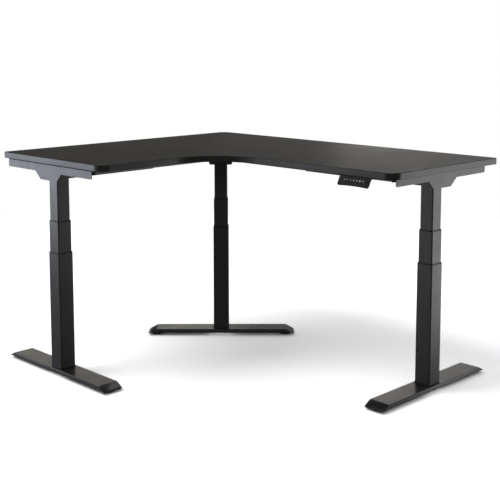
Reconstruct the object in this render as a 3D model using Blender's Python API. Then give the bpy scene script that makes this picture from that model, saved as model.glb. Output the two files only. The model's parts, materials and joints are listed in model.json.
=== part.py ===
"""Height adjustable corner standing desk: an L-shaped top on three telescopic legs.

The desk stands on Z = 0, and the origin is the middle of the top's footprint. +X runs along the
back edge of the long wing, away from the corner, and -Y along the back edge of the short wing.
"Left" is the short wing's leg and "right" the long wing's leg, as its user sees them. Metres.
"""

import math

import bmesh
import bpy
from mathutils import Matrix, Vector

# ---------------------------------------------------------------- driving dimensions
GAP = 0.0003  # between neighbouring solids

# Worktop
LONG_WING = 1.600
SHORT_WING = 1.285
WING_DEPTH = 0.684
TOP_HEIGHT = 0.898
TOP_THICKNESS = 0.0254
TOP_EDGE_ROUNDING = 0.002
BACK_CORNER_RADIUS = 0.040
WING_END_BACK_RADIUS = 0.012
WING_END_FRONT_RADIUS = 0.045
INNER_SWEEP_RADIUS = 0.230

# Where the legs stand
LEFT_COLUMN_INSET = 0.017  # from the wing's end to the inner tube's outer face
RIGHT_COLUMN_INSET = 0.050
CORNER_LEG_DISTANCE = 0.5475  # along the diagonal from the square back corner

# Columns: three square tubes, each sliding in the next
INNER_TUBE_WIDTH = 0.058
MIDDLE_TUBE_WIDTH = 0.064
OUTER_TUBE_WIDTH = 0.070
TUBE_WALL = 0.0015
TUBE_CORNER_RADIUS = 0.004
OUTER_TUBE_TOP = 0.513
MIDDLE_TUBE_BOTTOM = 0.170
MIDDLE_TUBE_TOP = 0.643
INNER_TUBE_BOTTOM = 0.310
COLLAR_RIM = 0.004
COLLAR_SKIRT = 0.030
COLLAR_STEP = 0.0005  # the rim stands back from the tube's face

# Drive inside each column
SPINDLE_RADIUS = 0.007
SPINDLE_BOTTOM = 0.360
SPINDLE_HEAD_RADIUS = 0.009
SPINDLE_HEAD = 0.026
SPINDLE_HOLE_RADIUS = 0.010
NUT_TUBE_RADIUS = 0.013
NUT_BORE_RADIUS = 0.0085
NUT_TUBE_TOP = 0.560
NUT_PLATE = 0.006
SPINDLE_CHAMFER = 0.001
SPINDLE_STEPS = 20
GEARBOX_WIDTH = 0.054
GEARBOX_HEIGHT = 0.034
GEARBOX_CORNER_RADIUS = 0.006
GEARBOX_BOSS = 0.004  # how far the round boss stands above the case
MOTOR_RADIUS = 0.018
MOTOR_LENGTH = 0.084
MOTOR_END = 0.010  # length of the stepped end
MOTOR_STEP = 0.002
MOTOR_HUB = (0.006, 0.004)  # radius and length

# Feet
FOOT_TOP = 0.0305
FOOT_WIDTH = 0.090
FOOT_HALF_TOP = 0.301  # half the length of the flat top
FOOT_HALF_LENGTH = 0.340
FOOT_TIP_HEIGHT = 0.009
FOOT_FLANGE_BOTTOM = 0.0127
FOOT_SHEET = 0.0025
FOOT_TIP_RADIUS = 0.010
FOOT_PLATE_LENGTH = 0.120
FOOT_PLATE_THICKNESS = 0.006
FOOT_BOLT_ACROSS = 0.013
FOOT_BOLT_HEAD = 0.005
FOOT_BOLT_PITCH = (0.084, 0.044)
GLIDE_OFFSET = 0.300
GLIDE_RADIUS = 0.029
GLIDE_SOLE_EDGE = 0.003  # how far the sole's edge curves in
GLIDE_THICKNESS = 0.0125
GLIDE_NUT_RADIUS = 0.009
GLIDE_NUT_HEIGHT = 0.004
GLIDE_STUD_RADIUS = 0.004
GLIDE_STUD_ROOM = 0.005  # between the stud's end and the foot's ceiling

# Frame under the top
FRAME_DROP = 0.010  # from the underside to the top of the side brackets and rails
RAIL_HEIGHT = 0.049
RAIL_WIDTH = 0.068
RAIL_WALL = 0.002
RAIL_LIP = 0.010
OUTER_RAIL_SHARE = 0.56  # how far each outer rail reaches towards the corner
INNER_RAIL_SHARE = 0.36  # where each inner rail begins
BRACKET_SHEET = 0.0025
BRACKET_BACK = 0.018  # from the top's back edge
BRACKET_FRONT = 0.607
BRACKET_ARM_HEIGHT = 0.026
BRACKET_GUSSET_DROP = 0.0583
GUSSET_TOP = (0.218, 0.402)  # from the top's back edge, where the arms end
GUSSET_BOTTOM = (0.257, 0.371)
BRACKET_CORNER_RADIUS = 0.008
BRACKET_FLANGE = 0.019
BRACKET_LIP = 0.010  # how far the flange's turned-down lip reaches below the plate's top
PAD_WIDTH = 0.028
PAD_SETBACK = 0.001  # from the bracket's outer face
PAD_THICKNESS = 0.0047
CORNER_BRACKET_WIDTH = 0.106
CORNER_BRACKET_DROP = 0.072
CORNER_BRACKET_REACH = 0.120  # from the column's axis to its back wall
CORNER_BRACKET_SHEET = 0.003
CORNER_BRACKET_FLANGE = 0.034

# Handset under the long wing's front edge
HANDSET_X = 0.625
HANDSET_WIDTH = 0.146
HANDSET_DROP = 0.036
HANDSET_REACH = 0.019  # how far its lower edge stands out past the top's edge
HANDSET_LIP = 0.0035  # thickness of the sloping face plate
HANDSET_CORNER_RADIUS = 0.009
HANDSET_HOLLOW = 0.0030  # how far its lower edge curves up in the middle
HANDSET_BODY_INSET = 0.012  # from each end of the face plate to the body behind it
HANDSET_BODY_DEPTH = 0.024  # from the top's edge to the body's back
HANDSET_EDGE_RADIUS = 0.0015
PANEL_LEFT = -0.070
PANEL_RIGHT = 0.059
PANEL_LOW = -0.0150
PANEL_HIGH = 0.0125
PANEL_THICKNESS = 0.001
PANEL_CORNER_RADIUS = 0.004
BUTTON_NAMES = ("up", "down", "preset_1", "preset_2", "preset_3", "memory", "reminder")
BUTTON_FIRST = -0.045
BUTTON_PITCH = 0.0145
BUTTON_ROW = 0.004
BUTTON_SIZE = (0.0115, 0.009)
BUTTON_CORNER_RADIUS = 0.002
BUTTON_DEPTH = 0.0035
BUTTON_PROUD = 0.0004
BUTTON_POCKET = 0.0065
BUTTON_MARGIN = 0.001  # between a button and its pocket's wall

# Control box under the long wing
BOX_LOW = (0.140, 0.400)
BOX_HIGH = (0.400, 0.500)
BOX_HEIGHT = 0.035
BOX_COVER = 0.0015
SOCKET_DEPTH = 0.0035
SOCKET_CENTRES = (0.415, 0.432, 0.449, 0.466, 0.484)
SOCKET_WIDTH = 0.012
SOCKET_HEIGHT = 0.014
BOX_CORNER_RADIUS = 0.004

# Arcs get this many steps to a quarter turn for a radius of one metre, and the square root of it for others
ARC_STEPS = 50
ROUND_STEPS = 32
BOW_STEPS = 400

# ---------------------------------------------------------------- worked-out places
BACK_X = -LONG_WING / 2
BACK_Y = SHORT_WING / 2
INNER_X = BACK_X + WING_DEPTH
INNER_Y = BACK_Y - WING_DEPTH
UNDERSIDE = TOP_HEIGHT - TOP_THICKNESS
FRAME_TOP = UNDERSIDE - FRAME_DROP
RAIL_BOTTOM = FRAME_TOP - RAIL_HEIGHT
COLUMN_FACE = INNER_TUBE_WIDTH / 2
GEARBOX_BOTTOM = RAIL_BOTTOM + CORNER_BRACKET_SHEET + GAP
DIAGONAL = CORNER_LEG_DISTANCE / math.sqrt(2)

# Each leg's frame: its column's axis, the turn that points its -Y at the side the column shows,
# and the sign of local X that points to the top's front
LEGS = {
    "left": (Vector((BACK_X + WING_DEPTH / 2, LEFT_COLUMN_INSET + COLUMN_FACE - BACK_Y, 0)), 0.0, 1),
    "right": (Vector((-BACK_X - RIGHT_COLUMN_INSET - COLUMN_FACE, BACK_Y - WING_DEPTH / 2, 0)), 90.0, -1),
    "corner": (Vector((BACK_X + DIAGONAL, BACK_Y - DIAGONAL, 0)), 45.0, 1),
}

# Finishes: base colour, roughness, metallic
FINISHES = {
    "laminate": ((0.030, 0.029, 0.027), 0.60, 0.0),
    "powder_coat": ((0.020, 0.020, 0.021), 0.45, 0.3),
    "plastic": ((0.012, 0.012, 0.012), 0.50, 0.0),
    "panel": ((0.030, 0.031, 0.033), 0.25, 0.0),
    "rubber": ((0.015, 0.015, 0.015), 0.85, 0.0),
    "zinc": ((0.560, 0.570, 0.590), 0.35, 1.0),
    "motor_case": ((0.300, 0.300, 0.310), 0.45, 0.9),
}


# ---------------------------------------------------------------- making shapes
def rounded(corners):
    """An outline through (x, y, radius) corners, with an arc at each corner that has a radius."""
    outline = []
    for index, (x, y, radius) in enumerate(corners):
        corner = Vector((x, y))
        if radius == 0:
            outline.append(corner)
            continue
        before = (Vector(corners[index - 1][:2]) - corner).normalized()
        after = (Vector(corners[(index + 1) % len(corners)][:2]) - corner).normalized()
        half = before.angle(after) / 2
        centre = corner + (before + after).normalized() * radius / math.sin(half)
        start = corner + before * radius / math.tan(half) - centre
        end = corner + after * radius / math.tan(half) - centre
        sweep = math.pi - 2 * half
        steps = max(2, math.ceil(ARC_STEPS * math.sqrt(radius) * sweep / (math.pi / 2)))
        for step in range(steps + 1):
            angle = sweep * step / steps
            spoke = start * math.sin(sweep - angle) + end * math.sin(angle)
            outline.append(centre + spoke / math.sin(sweep))
    return outline


def rectangle(left, right, low, high, radius=0.0):
    return rounded([(left, low, radius), (right, low, radius), (right, high, radius), (left, high, radius)])


def square(width, radius):
    return rectangle(-width / 2, width / 2, -width / 2, width / 2, radius)


def circle(radius, steps=ROUND_STEPS, centre=(0, 0)):
    turns = [2 * math.pi * step / steps for step in range(steps)]
    return [Vector((centre[0] + radius * math.cos(t), centre[1] + radius * math.sin(t))) for t in turns]


def closed(bm):
    bmesh.ops.recalc_face_normals(bm, faces=bm.faces)
    return bm


def prism(outline, near, far):
    """A solid whose two ends are the outline, placed by the functions near and far."""
    bm = bmesh.new()
    first = [bm.verts.new(near(*point)) for point in outline]
    last = [bm.verts.new(far(*point)) for point in outline]
    bm.faces.new(first)
    bm.faces.new(last)
    for index in range(len(outline)):
        following = (index + 1) % len(outline)
        bm.faces.new((first[index], first[following], last[following], last[index]))
    return closed(bm)


def upright(outline, low, high):
    """The outline lies in XY and rises along Z."""
    return prism(outline, lambda x, y: (x, y, low), lambda x, y: (x, y, high))


def lengthwise(outline, start, end, slant=0.0):
    """The outline lies in XZ and runs along Y. Its far end is slanted by slant for each metre of X."""
    return prism(outline, lambda x, z: (x, start, z), lambda x, z: (x, end + slant * x, z))


def sideways(outline, start, end):
    """The outline lies in YZ and runs along X."""
    return prism(outline, lambda y, z: (start, y, z), lambda y, z: (end, y, z))


def block(x_span, y_span, z_span, radius=0.0):
    return upright(rectangle(*x_span, *y_span, radius), *z_span)


def tube(width, wall, radius, low, high):
    """A square tube open at both ends. Its corners have the same radius inside and out, so tubes nest."""
    bm = bmesh.new()
    outer = square(width, radius)
    inner = square(width - 2 * wall, radius)
    rings = []
    for outline, height in ((outer, low), (outer, high), (inner, high), (inner, low)):
        rings.append([bm.verts.new((*point, height)) for point in outline])
    for ring, inward in zip(rings, rings[1:] + rings[:1]):
        for index in range(len(outer)):
            following = (index + 1) % len(outer)
            bm.faces.new((ring[index], ring[following], inward[following], inward[index]))
    return closed(bm)


def turned(profile, steps=ROUND_STEPS):
    """A solid turned about Z from (radius, height) points that begin and end on the axis."""
    bm = bmesh.new()
    rings = []
    for radius, height in profile:
        count = steps if radius > 0 else 1
        rings.append([bm.verts.new((*point, height)) for point in circle(radius, count)])
    for lower, upper in zip(rings, rings[1:]):
        for index in range(steps):
            following = (index + 1) % steps
            corners = [lower[index % len(lower)], lower[following % len(lower)]]
            corners += [upper[following % len(upper)], upper[index % len(upper)]]
            bm.faces.new(list(dict.fromkeys(corners)))
    return closed(bm)


# ---------------------------------------------------------------- making objects
def finish(name, kind):
    """A material of that finish for one piece."""
    colour, roughness, metallic = FINISHES[kind]
    made = bpy.data.materials.new(f"{name}_{kind}")
    made.use_nodes = True
    shader = made.node_tree.nodes["Principled BSDF"]
    shader.inputs["Base Color"].default_value = (*colour, 1)
    shader.inputs["Roughness"].default_value = roughness
    shader.inputs["Metallic"].default_value = metallic
    return made


def linked(name, bm, parent):
    mesh = bpy.data.meshes.new(name)
    bm.to_mesh(mesh)
    bm.free()
    made = bpy.data.objects.new(name, mesh)
    made.parent = parent
    bpy.context.scene.collection.objects.link(made)
    return made


def piece(name, bm, kind, parent=None):
    """One named sub-part in its own finish, in its parent's frame."""
    made = linked(name, bm, parent)
    made.data.materials.append(finish(name, kind))
    made.data.shade_smooth()
    made.data.set_sharp_from_angle(angle=math.radians(35))
    return made


def combine(target, operation, bm):
    """Cuts bm from the target, joins it on, or keeps what they share. bm is in the target's frame."""
    helper = linked(f"{target.name}_helper_{len(target.modifiers)}", bm, target.parent)
    helper.hide_render = True
    helper.display_type = "WIRE"
    modifier = target.modifiers.new(operation.title(), "BOOLEAN")
    modifier.operation = operation
    modifier.solver = "EXACT"
    modifier.object = helper


def frame(name, location, turn):
    """An empty that holds the pieces of one leg or of the handset."""
    empty = bpy.data.objects.new(name, None)
    empty.location = location
    empty.rotation_euler = turn
    bpy.context.scene.collection.objects.link(empty)
    return empty


# ---------------------------------------------------------------- the worktop
def make_worktop():
    outline = rounded(
        [
            (BACK_X, BACK_Y, BACK_CORNER_RADIUS),
            (BACK_X, -BACK_Y, WING_END_BACK_RADIUS),
            (INNER_X, -BACK_Y, WING_END_FRONT_RADIUS),
            (INNER_X, INNER_Y, INNER_SWEEP_RADIUS),
            (-BACK_X, INNER_Y, WING_END_FRONT_RADIUS),
            (-BACK_X, BACK_Y, WING_END_BACK_RADIUS),
        ]
    )
    worktop = piece("desktop", upright(outline, UNDERSIDE, TOP_HEIGHT), "laminate")
    bevel = worktop.modifiers.new("Edge rounding", "BEVEL")
    bevel.width = TOP_EDGE_ROUNDING
    bevel.segments = 2
    bevel.limit_method = "ANGLE"
    bevel.angle_limit = math.radians(60)


# ---------------------------------------------------------------- a leg
def make_foot(leg, parent):
    """A folded sheet foot, open below, with sloping ends that reach lower than its side flanges."""
    block_bm = block(
        (-FOOT_HALF_LENGTH, FOOT_HALF_LENGTH),
        (-FOOT_WIDTH / 2, FOOT_WIDTH / 2),
        (-FOOT_TIP_HEIGHT, FOOT_TOP),
        FOOT_TIP_RADIUS,
    )
    top_edges = [edge for edge in block_bm.edges if all(v.co.z > 0 for v in edge.verts)]
    bmesh.ops.bevel(block_bm, geom=top_edges, offset=FOOT_SHEET, segments=3, affect="EDGES", profile=0.5)
    foot = piece(f"{leg}_foot", closed(block_bm), "powder_coat", parent)

    slope = (FOOT_HALF_LENGTH - FOOT_HALF_TOP) / (FOOT_TOP - FOOT_TIP_HEIGHT)
    ridge = 2 * FOOT_TOP
    lip = FOOT_HALF_LENGTH - 2 * FOOT_SHEET
    flange_end = lip - slope * (FOOT_FLANGE_BOTTOM - FOOT_TIP_HEIGHT)
    half = [
        (flange_end, FOOT_FLANGE_BOTTOM),
        (lip, FOOT_TIP_HEIGHT),
        (FOOT_HALF_LENGTH, FOOT_TIP_HEIGHT),
        (FOOT_HALF_TOP - slope * (ridge - FOOT_TOP), ridge),
    ]
    profile = half + [(-x, z) for x, z in reversed(half)]
    combine(foot, "INTERSECT", lengthwise(profile, -FOOT_WIDTH, FOOT_WIDTH))

    ceiling = FOOT_TOP - FOOT_SHEET
    ceiling_end = FOOT_HALF_TOP - FOOT_SHEET * (math.hypot(1, slope) - slope)
    depth = ceiling + FOOT_TIP_HEIGHT
    hollow = [
        (-ceiling_end, ceiling),
        (ceiling_end, ceiling),
        (ceiling_end + slope * depth, ceiling - depth),
        (-ceiling_end - slope * depth, ceiling - depth),
    ]
    inside = FOOT_WIDTH / 2 - FOOT_SHEET
    combine(foot, "DIFFERENCE", lengthwise(hollow, -inside, inside))
    make_foot_plate(leg, parent, ceiling - GAP)
    make_glides(leg, parent, ceiling)


def make_foot_plate(leg, parent, top):
    """The steel plate inside the foot that the column is bolted to, with its four bolt heads."""
    low = top - FOOT_PLATE_THICKNESS
    half_width = FOOT_WIDTH / 2 - 2 * FOOT_SHEET
    spans = (-FOOT_PLATE_LENGTH / 2, FOOT_PLATE_LENGTH / 2), (-half_width, half_width), (low, top)
    plate = piece(f"{leg}_foot_plate", block(*spans), "zinc", parent)
    for side_x in (-1, 1):
        for side_y in (-1, 1):
            centre = (side_x * FOOT_BOLT_PITCH[0] / 2, side_y * FOOT_BOLT_PITCH[1] / 2)
            head = circle(FOOT_BOLT_ACROSS / math.sqrt(3), 6, centre)
            combine(plate, "UNION", upright(head, low - FOOT_BOLT_HEAD, low + FOOT_BOLT_HEAD / 2))


def make_glides(leg, parent, ceiling):
    """Two round levelling glides, each on a threaded stud that ends inside the foot."""
    edge = GLIDE_SOLE_EDGE
    stud_top = ceiling - GLIDE_STUD_ROOM
    nut_top = GLIDE_THICKNESS + GLIDE_NUT_HEIGHT
    profile = [
        (0, 0),
        (GLIDE_RADIUS - edge, 0),
        (GLIDE_RADIUS - edge / 6, 2 * edge / 3),
        (GLIDE_RADIUS, 3 * edge / 2),
        (GLIDE_RADIUS - edge / 6, 5 * edge / 2),
        (GLIDE_RADIUS - 5 * edge / 3, GLIDE_THICKNESS - edge / 2),
        (GLIDE_NUT_RADIUS, GLIDE_THICKNESS),
        (GLIDE_NUT_RADIUS, nut_top),
        (GLIDE_STUD_RADIUS, nut_top),
        (GLIDE_STUD_RADIUS, stud_top),
        (0, stud_top),
    ]
    for end, offset in (("a", -GLIDE_OFFSET), ("b", GLIDE_OFFSET)):
        glide = piece(f"{leg}_glide_{end}", turned(profile), "rubber", parent)
        glide.location = (offset, 0, 0)


def make_collar(name, outer_width, passing_width, top, parent):
    """The plastic guide in a tube's mouth: a rim on the tube's edge and a skirt inside it."""
    hole = passing_width + 2 * GAP
    rim_width = outer_width - 2 * COLLAR_STEP
    rim = tube(rim_width, (rim_width - hole) / 2, TUBE_CORNER_RADIUS, top - COLLAR_RIM, top)
    collar = piece(name, rim, "plastic", parent)
    skirt_width = outer_width - 2 * TUBE_WALL - 2 * GAP
    skirt_bottom = top - COLLAR_RIM - COLLAR_SKIRT
    skirt_wall = (skirt_width - hole) / 2
    skirt = tube(skirt_width, skirt_wall, TUBE_CORNER_RADIUS, skirt_bottom, top - COLLAR_RIM / 2)
    combine(collar, "UNION", skirt)


def make_column(leg, parent):
    """Three square tubes, the widest at the bottom, with a collar in each mouth."""
    radius = TUBE_CORNER_RADIUS
    stages = (
        ("outer", OUTER_TUBE_WIDTH, FOOT_TOP + GAP, OUTER_TUBE_TOP - COLLAR_RIM - GAP),
        ("middle", MIDDLE_TUBE_WIDTH, MIDDLE_TUBE_BOTTOM, MIDDLE_TUBE_TOP - COLLAR_RIM - GAP),
        ("inner", INNER_TUBE_WIDTH, INNER_TUBE_BOTTOM, RAIL_BOTTOM - GAP),
    )
    for stage, width, low, high in stages:
        piece(f"{leg}_{stage}_tube", tube(width, TUBE_WALL, radius, low, high), "powder_coat", parent)
    make_collar(f"{leg}_outer_collar", OUTER_TUBE_WIDTH, MIDDLE_TUBE_WIDTH, OUTER_TUBE_TOP, parent)
    make_collar(f"{leg}_middle_collar", MIDDLE_TUBE_WIDTH, INNER_TUBE_WIDTH, MIDDLE_TUBE_TOP, parent)


def make_drive(leg, parent):
    """Gearbox and motor at the column's top, the spindle they turn, and the nut tube it turns in."""
    head_low = GEARBOX_BOTTOM - GAP - SPINDLE_HEAD
    spindle_profile = [
        (0, SPINDLE_BOTTOM),
        (SPINDLE_RADIUS - SPINDLE_CHAMFER, SPINDLE_BOTTOM),
        (SPINDLE_RADIUS, SPINDLE_BOTTOM + SPINDLE_CHAMFER),
        (SPINDLE_RADIUS, head_low),
        (SPINDLE_HEAD_RADIUS, head_low),
        (SPINDLE_HEAD_RADIUS, GEARBOX_BOTTOM - GAP),
        (0, GEARBOX_BOTTOM - GAP),
    ]
    piece(f"{leg}_spindle", turned(spindle_profile, SPINDLE_STEPS), "zinc", parent)

    plate_width = MIDDLE_TUBE_WIDTH - 2 * TUBE_WALL - 2 * GAP
    plate_low = MIDDLE_TUBE_BOTTOM + 2 * NUT_PLATE / 3
    plate = upright(square(plate_width, TUBE_CORNER_RADIUS), plate_low, plate_low + NUT_PLATE)
    nut = piece(f"{leg}_nut_tube", plate, "plastic", parent)
    combine(nut, "UNION", upright(circle(NUT_TUBE_RADIUS), plate_low + NUT_PLATE / 2, NUT_TUBE_TOP))
    bore = upright(circle(NUT_BORE_RADIUS), plate_low - NUT_PLATE, NUT_TUBE_TOP + NUT_PLATE)
    combine(nut, "DIFFERENCE", bore)

    half = GEARBOX_WIDTH / 2
    radius = GEARBOX_CORNER_RADIUS
    top = GEARBOX_BOTTOM + GEARBOX_HEIGHT
    box = upright(square(GEARBOX_WIDTH, radius), GEARBOX_BOTTOM, top)
    case = piece(f"{leg}_gearbox", box, "motor_case", parent)
    combine(case, "UNION", upright(circle(half - radius), top - GEARBOX_BOSS / 2, top + GEARBOX_BOSS))

    hub_radius, hub_length = MOTOR_HUB
    shoulder = MOTOR_LENGTH - MOTOR_END
    hub_start = MOTOR_LENGTH - hub_length
    motor_profile = [
        (0, 0),
        (MOTOR_RADIUS, 0),
        (MOTOR_RADIUS, shoulder),
        (MOTOR_RADIUS - MOTOR_STEP, shoulder + MOTOR_STEP),
        (MOTOR_RADIUS - MOTOR_STEP, hub_start),
        (hub_radius, hub_start),
        (hub_radius, MOTOR_LENGTH),
        (0, MOTOR_LENGTH),
    ]
    lying = turned(motor_profile)
    lying.transform(Matrix.Rotation(math.radians(-90), 4, "X"))
    lying.transform(Matrix.Translation((0, half + GAP, GEARBOX_BOTTOM + MOTOR_RADIUS)))
    piece(f"{leg}_motor", lying, "motor_case", parent)


# ---------------------------------------------------------------- the frame under the top
def make_side_bracket(leg, front, parent):
    """A folded plate over the column's outer face, with a flange and a rubber pad under the top."""
    outside = -COLUMN_FACE - GAP - BRACKET_SHEET
    inside = outside + BRACKET_SHEET
    arm_bottom = FRAME_TOP - BRACKET_ARM_HEIGHT
    gusset_bottom = FRAME_TOP - BRACKET_GUSSET_DROP
    from_back = [
        (BRACKET_BACK, FRAME_TOP, 0),
        (BRACKET_BACK, arm_bottom, BRACKET_CORNER_RADIUS),
        (GUSSET_TOP[0], arm_bottom, 0),
        (GUSSET_BOTTOM[0], gusset_bottom, 0),
        (GUSSET_BOTTOM[1], gusset_bottom, 0),
        (GUSSET_TOP[1], arm_bottom, 0),
        (BRACKET_FRONT, arm_bottom, BRACKET_CORNER_RADIUS),
        (BRACKET_FRONT, FRAME_TOP, 0),
    ]
    outline = rounded([(front * (x - WING_DEPTH / 2), z, radius) for x, z, radius in from_back])
    bracket = piece(f"{leg}_side_bracket", lengthwise(outline, outside, inside), "powder_coat", parent)

    ends = sorted(front * (x - WING_DEPTH / 2) for x in (BRACKET_BACK, BRACKET_FRONT))
    flange_top = UNDERSIDE - 2 * GAP - PAD_THICKNESS
    fold = outside + GAP
    edge = fold + BRACKET_FLANGE
    combine(bracket, "UNION", block(ends, (fold, inside), (arm_bottom + BRACKET_CORNER_RADIUS, flange_top)))
    combine(bracket, "UNION", block(ends, (fold, edge), (FRAME_TOP + GAP, flange_top)))
    beside_rail = RAIL_WIDTH / 2 + BRACKET_SHEET
    for span in ((ends[0], -beside_rail), (beside_rail, ends[1])):
        lip = block(span, (edge - BRACKET_SHEET, edge), (FRAME_TOP - BRACKET_LIP, flange_top - GAP))
        combine(bracket, "UNION", lip)

    pad_start = fold + PAD_SETBACK
    pad = block(ends, (pad_start, pad_start + PAD_WIDTH), (flange_top + GAP, UNDERSIDE - GAP))
    piece(f"{leg}_rubber_pad", pad, "rubber", parent)


def channel(width, low, high, wall, lip):
    """A C-shaped section, open upwards between its two lips."""
    half = width / 2
    right = [
        (half, low),
        (half, high),
        (half - lip, high),
        (half - lip, high - wall),
        (half - wall, high - wall),
        (half - wall, low + wall),
    ]
    return right + [(-x, z) for x, z in reversed(right)]


def make_rails(leg, front, parent):
    """An outer rail on the leg and an inner rail that slides out of it and ends on the corner bracket."""
    corner = LEGS["corner"][0]
    column = LEGS[leg][0]
    span = abs(corner.x - column.x) + abs(corner.y - column.y)
    bracket_face = CORNER_BRACKET_WIDTH / 2 + GAP
    reach = span - bracket_face * math.sqrt(2)
    outer = channel(RAIL_WIDTH, RAIL_BOTTOM, FRAME_TOP, RAIL_WALL, RAIL_LIP)
    start = -COLUMN_FACE
    rail = piece(f"{leg}_outer_rail", lengthwise(outer, start, OUTER_RAIL_SHARE * reach), "powder_coat", parent)
    spindle_hole = upright(circle(SPINDLE_HOLE_RADIUS), RAIL_BOTTOM - RAIL_WALL, RAIL_BOTTOM + 2 * RAIL_WALL)
    combine(rail, "DIFFERENCE", spindle_hole)

    play = RAIL_WALL + GAP
    inner = channel(RAIL_WIDTH - 2 * play, RAIL_BOTTOM + play, FRAME_TOP - play, RAIL_WALL, RAIL_LIP)
    mitred = lengthwise(inner, INNER_RAIL_SHARE * reach, reach, -front)
    piece(f"{leg}_inner_rail", mitred, "powder_coat", parent)


def make_corner_bracket(parent):
    """A tray that takes both inner rails and the corner column, with a front plate that laps the column."""
    half = CORNER_BRACKET_WIDTH / 2
    sheet = CORNER_BRACKET_SHEET
    back = CORNER_BRACKET_REACH
    face = -COLUMN_FACE - GAP - sheet
    top = UNDERSIDE - GAP
    low = UNDERSIDE - CORNER_BRACKET_DROP
    radius = BRACKET_CORNER_RADIUS
    plate = rounded([(-half, low, radius), (half, low, radius), (half, top, 0), (-half, top, 0)])
    bracket = piece("corner_bracket", lengthwise(plate, face, face + sheet), "powder_coat", parent)
    tray = block((-half, half), (face + sheet / 2, back), (RAIL_BOTTOM, top - sheet / 2))
    combine(bracket, "UNION", tray)
    inside = half - sheet
    hollow = block((-inside, inside), (face + sheet, back - sheet), (RAIL_BOTTOM + sheet, top + sheet))
    combine(bracket, "DIFFERENCE", hollow)
    for side in (-1, 1):
        reach = sorted((side * (half - sheet / 2), side * (half + CORNER_BRACKET_FLANGE)))
        flange = block(reach, (face + sheet / 3, back - sheet / 3), (top - sheet, top - GAP))
        combine(bracket, "UNION", flange)
    hole = upright(circle(SPINDLE_HOLE_RADIUS), RAIL_BOTTOM - sheet, RAIL_BOTTOM + 2 * sheet)
    combine(bracket, "DIFFERENCE", hole)


# ---------------------------------------------------------------- handset
def handset_shapes(top):
    """The sloping face plate, and the narrower body that holds the circuit board behind it."""
    half = HANDSET_WIDTH / 2
    low = top - HANDSET_DROP
    front = INNER_Y - HANDSET_REACH
    lip = HANDSET_LIP
    plate = rounded(
        [
            (INNER_Y, top, 0),
            (front, low, HANDSET_EDGE_RADIUS),
            (front + lip, low - lip / 2, HANDSET_EDGE_RADIUS),
            (INNER_Y + 4 * lip / 3, top, 0),
        ]
    )
    body = rounded(
        [
            (INNER_Y + GAP, top, 0),
            (front + 2 * lip, low + 2 * lip, 0),
            (INNER_Y + lip, top - HANDSET_DROP / 2, lip),
            (INNER_Y + HANDSET_BODY_DEPTH, top - HANDSET_DROP / 5, lip),
            (INNER_Y + HANDSET_BODY_DEPTH, top, 0),
        ]
    )
    body_half = half - HANDSET_BODY_INSET
    return (
        sideways(plate, HANDSET_X - half, HANDSET_X + half),
        sideways(body, HANDSET_X - body_half, HANDSET_X + body_half),
    )


def make_handset():
    """A wedge under the long wing's front edge. Its frame's XY is the sloping face and its +Z points out."""
    tilt = math.atan2(HANDSET_DROP, HANDSET_REACH)
    top = UNDERSIDE - GAP
    place = (HANDSET_X, INNER_Y - HANDSET_REACH / 2, top - HANDSET_DROP / 2)
    face = frame("handset_frame", place, (tilt, 0, 0))
    to_face = (Matrix.Translation(place) @ Matrix.Rotation(tilt, 4, "X")).inverted()
    plate, body = handset_shapes(top)
    plate.transform(to_face)
    body.transform(to_face)
    housing = piece("handset_housing", plate, "plastic", face)

    half = HANDSET_WIDTH / 2
    radius = HANDSET_CORNER_RADIUS
    low = -math.hypot(HANDSET_DROP, HANDSET_REACH) / 2
    outline = rounded([(-half, low, radius), (half, low, radius), (half, -4 * low, 0), (-half, -4 * low, 0)])
    combine(housing, "INTERSECT", upright(outline, 3 * low, -3 * low))
    bow = (half**2 + HANDSET_HOLLOW**2) / (2 * HANDSET_HOLLOW)
    bite = upright(circle(bow, BOW_STEPS, (0, low + HANDSET_HOLLOW - bow)), 3 * low, -3 * low)
    combine(housing, "DIFFERENCE", bite)
    combine(housing, "UNION", body)

    radius = PANEL_CORNER_RADIUS
    recess = rectangle(PANEL_LEFT - GAP, PANEL_RIGHT + GAP, PANEL_LOW - GAP, PANEL_HIGH + GAP, radius + GAP)
    combine(housing, "DIFFERENCE", upright(recess, -PANEL_THICKNESS - GAP, PANEL_THICKNESS))
    row_end = BUTTON_FIRST + BUTTON_PITCH * (len(BUTTON_NAMES) - 1)
    reach_x, reach_y = (side / 2 + BUTTON_MARGIN for side in BUTTON_SIZE)
    pocket = block(
        (BUTTON_FIRST - reach_x, row_end + reach_x),
        (BUTTON_ROW - reach_y, BUTTON_ROW + reach_y),
        (-BUTTON_POCKET, -PANEL_THICKNESS / 2),
    )
    combine(housing, "DIFFERENCE", pocket)

    outline = rectangle(PANEL_LEFT, PANEL_RIGHT, PANEL_LOW, PANEL_HIGH, radius)
    panel = piece("handset_panel", upright(outline, -PANEL_THICKNESS, 0), "panel", face)
    for index, name in enumerate(BUTTON_NAMES):
        centre = Vector((BUTTON_FIRST + BUTTON_PITCH * index, BUTTON_ROW, 0))
        make_button(f"button_{name}", centre, panel, face)


def make_button(name, centre, panel, face):
    """One key that stands just proud of the panel, in its own hole."""
    half_x, half_y = BUTTON_SIZE[0] / 2, BUTTON_SIZE[1] / 2
    radius = BUTTON_CORNER_RADIUS
    hole = rectangle(-half_x - GAP, half_x + GAP, -half_y - GAP, half_y + GAP, radius + GAP)
    through = upright([point + centre.xy for point in hole], -2 * PANEL_THICKNESS, PANEL_THICKNESS)
    combine(panel, "DIFFERENCE", through)
    cap = upright(rectangle(-half_x, half_x, -half_y, half_y, radius), -BUTTON_DEPTH, BUTTON_PROUD)
    button = piece(name, cap, "plastic", face)
    button.location = centre


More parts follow.
